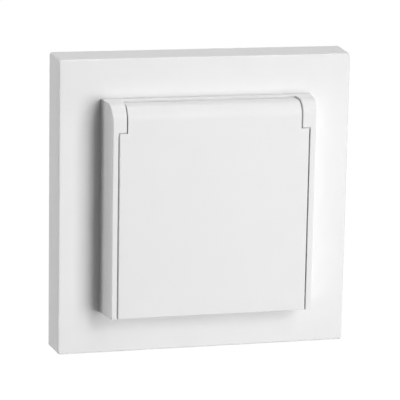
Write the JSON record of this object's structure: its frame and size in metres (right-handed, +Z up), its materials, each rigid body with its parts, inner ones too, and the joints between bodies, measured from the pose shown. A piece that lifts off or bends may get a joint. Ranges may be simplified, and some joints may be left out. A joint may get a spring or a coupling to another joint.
{
  "type": "flush wall socket outlet with hinged lid",
  "caption": "Flush wall socket outlet: square frame, raised square housing with a sprung, sealed lid hinged at the top, round plug recess, mounting ring and contact block behind.",
  "frame": {"origin": "centre of the frame's back, on the wall plane", "axes": "+Y into the wall, so the front faces -Y; +Z up; +X to the right seen from the front"},
  "size_m": [0.082, 0.0473, 0.082],
  "materials": {
    "white_plastic": "smooth satin, slightly cool white",
    "white_gloss_plastic": "smooth, glossier than the cover",
    "seal_rubber": "matt grey soft rubber",
    "bright_steel": "bright stainless steel",
    "zinc_steel": "zinc plated steel",
    "nickel_brass": "nickel plated brass",
    "brass": "bare brass",
    "shutter_plastic": "smooth off-white",
    "base_plastic": "fine matt thermoset"
  },
  "bodies": {
    "housing": {"outer_frame": "white_plastic", "cover_body": "white_plastic", "plug_cup": "white_gloss_plastic", "wall_gasket": "seal_rubber", "cover_gasket": "seal_rubber", "hinge_pin": "bright_steel", "lid_spring": "bright_steel", "shutter_spring": "bright_steel", "centre_screw": "zinc_steel", "ring_rivets": "zinc_steel", "support_ring": "zinc_steel", "earth_bracket": "nickel_brass", "contact_left": "brass", "contact_right": "brass", "terminal_left": "brass", "terminal_right": "brass", "terminal_earth": "brass", "terminal_screw_left": "zinc_steel", "terminal_screw_right": "zinc_steel", "terminal_screw_earth": "zinc_steel", "base": "base_plastic", "rear_cover": "base_plastic"},
    "lid": {"lid": "white_plastic", "lid_seal": "seal_rubber"},
    "shutter": {"shutter": "shutter_plastic"}
  },
  "joints": [
    {"name": "lid_hinge", "type": "hinge", "parent": "housing", "child": "lid", "pos_m": [0, -0.0169, 0.02532], "axis": [-1, 0, 0], "range_deg": [0, 95], "stiffness_Nm_per_rad": 0.004, "springref_deg": -34.38, "deforming": ["lid_spring"]},
    {"name": "shutter_turn", "type": "hinge", "parent": "housing", "child": "shutter", "pos_m": [0, 0.0042, 0], "axis": [0, 1, 0], "range_deg": [0, 38], "stiffness_Nm_per_rad": 0.0005, "springref_deg": -34.38, "deforming": ["shutter_spring"]}
  ]
}
